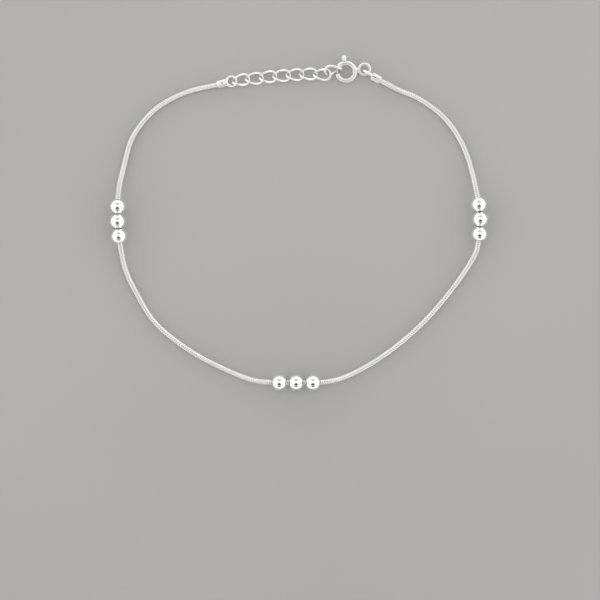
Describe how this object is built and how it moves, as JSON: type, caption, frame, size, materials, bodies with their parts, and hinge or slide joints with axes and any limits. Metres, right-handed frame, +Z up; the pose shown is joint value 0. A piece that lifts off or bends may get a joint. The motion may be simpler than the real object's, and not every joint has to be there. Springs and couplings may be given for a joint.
{
  "type": "anklet",
  "caption": "Silver anklet lying closed: a round snake chain through groups of round beads, with end caps, a curb extender and a spring ring clasp.",
  "frame": {"origin": "on the surface that the anklet lies on, under the middle of its outline", "axes": "+Z up off the surface, +X across the loop towards the spring ring's side, +Y towards the clasp"},
  "size_m": [0.0944, 0.0838, 0.004],
  "materials": {
    "polished_silver": "mirror-polished silver with fine handling marks",
    "chain_silver": "polished silver, darker in the grooves between the chain's rings",
    "finding_silver": "tumble-polished silver wire and strip, slightly softer than the beads"
  },
  "bodies": {
    "anklet": {"snake_chain": "chain_silver", "left_bead_1": "polished_silver", "left_bead_2": "polished_silver", "left_bead_3": "polished_silver", "bottom_bead_1": "polished_silver", "bottom_bead_2": "polished_silver", "bottom_bead_3": "polished_silver", "right_bead_1": "polished_silver", "right_bead_2": "polished_silver", "right_bead_3": "polished_silver", "left_end_cap": "finding_silver", "right_end_cap": "finding_silver", "extender_link_1": "finding_silver", "extender_link_2": "finding_silver", "extender_link_3": "finding_silver", "extender_link_4": "finding_silver", "extender_link_5": "finding_silver", "extender_link_6": "finding_silver", "extender_link_7": "finding_silver", "extender_link_8": "finding_silver", "clasp_ring": "finding_silver"},
    "clasp_slide": {"clasp_slide": "finding_silver"}
  },
  "joints": [
    {"name": "clasp_trigger", "type": "hinge", "parent": "anklet", "child": "clasp_slide", "pos_m": [0.01188, 0.0377, 0.0011], "axis": [0, 0.2419, -0.9703], "range_deg": [0, 55], "stiffness_Nm_per_rad": 0.004}
  ]
}
